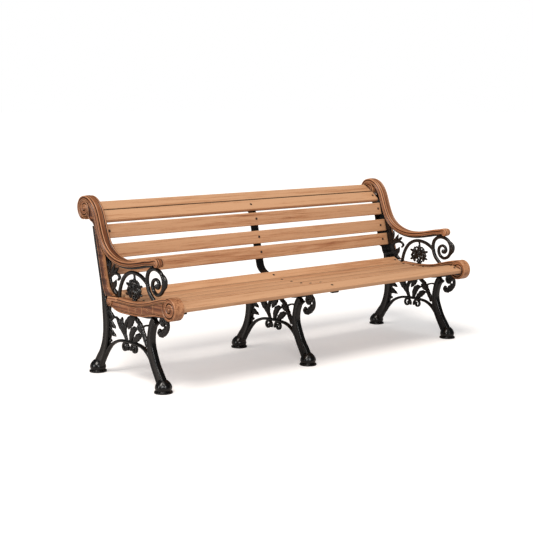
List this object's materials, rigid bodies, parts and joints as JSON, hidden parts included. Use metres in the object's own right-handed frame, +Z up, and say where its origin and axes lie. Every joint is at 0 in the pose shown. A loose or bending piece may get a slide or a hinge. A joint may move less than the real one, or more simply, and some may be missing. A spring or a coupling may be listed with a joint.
{
  "type": "garden bench",
  "caption": "Long slatted hardwood garden bench with scrolled cast-iron end frames, moulded timber arm rails with volutes, and a centre leg and back brace.",
  "frame": {"origin": "on the floor, under the middle of the bench's bounding box", "axes": "+X runs along the bench to the sitter's left, -Y is the front that a sitter faces, +Z is up"},
  "size_m": [2.088, 0.8322, 0.8859],
  "materials": {
    "slat_timber": "oiled, orange-brown, satin",
    "moulded_timber": "oiled, a shade darker than the slats, satin",
    "iron": "black paint, semi-gloss",
    "bolt": "black, worn satin"
  },
  "bodies": {
    "root": {"arm_rail_left": "moulded_timber", "arm_rail_right": "moulded_timber", "back_slat_1": "slat_timber", "back_slat_2": "slat_timber", "back_slat_3": "slat_timber", "back_slat_4": "slat_timber", "back_slat_5": "slat_timber", "back_trim_left": "moulded_timber", "back_trim_right": "moulded_timber", "bolt_back_slat_1_brace": "bolt", "bolt_back_slat_1_left": "bolt", "bolt_back_slat_1_right": "bolt", "bolt_back_slat_2_brace": "bolt", "bolt_back_slat_2_left": "bolt", "bolt_back_slat_2_right": "bolt", "bolt_back_slat_3_brace": "bolt", "bolt_back_slat_3_left": "bolt", "bolt_back_slat_3_right": "bolt", "bolt_back_slat_4_brace": "bolt", "bolt_back_slat_4_left": "bolt", "bolt_back_slat_4_right": "bolt", "bolt_seat_slat_1_brace": "bolt", "bolt_seat_slat_1_left": "bolt", "bolt_seat_slat_1_right": "bolt", "bolt_seat_slat_2_brace": "bolt", "bolt_seat_slat_2_left": "bolt", "bolt_seat_slat_2_right": "bolt", "bolt_seat_slat_3_brace": "bolt", "bolt_seat_slat_3_left": "bolt", "bolt_seat_slat_3_right": "bolt", "bolt_seat_slat_4_brace": "bolt", "bolt_seat_slat_4_left": "bolt", "bolt_seat_slat_4_right": "bolt", "bolt_seat_slat_5_brace": "bolt", "bolt_seat_slat_5_left": "bolt", "bolt_seat_slat_5_right": "bolt", "bolt_seat_slat_6_brace": "bolt", "bolt_seat_slat_6_left": "bolt", "bolt_seat_slat_6_right": "bolt", "bolt_seat_slat_7_brace": "bolt", "bolt_seat_slat_7_left": "bolt", "bolt_seat_slat_7_right": "bolt", "centre_brace": "iron", "centre_leg": "iron", "end_frame_left": "iron", "end_frame_right": "iron", "screw_back_slat_5_brace": "bolt", "screw_back_slat_5_left": "bolt", "screw_back_slat_5_right": "bolt", "screw_seat_slat_2_leg": "bolt", "screw_seat_slat_6_leg": "bolt", "seat_slat_1": "slat_timber", "seat_slat_2": "slat_timber", "seat_slat_3": "slat_timber", "seat_slat_4": "slat_timber", "seat_slat_5": "slat_timber", "seat_slat_6": "slat_timber", "seat_slat_7": "slat_timber", "seat_trim_left": "moulded_timber", "seat_trim_right": "moulded_timber"}
  },
  "joints": []
}
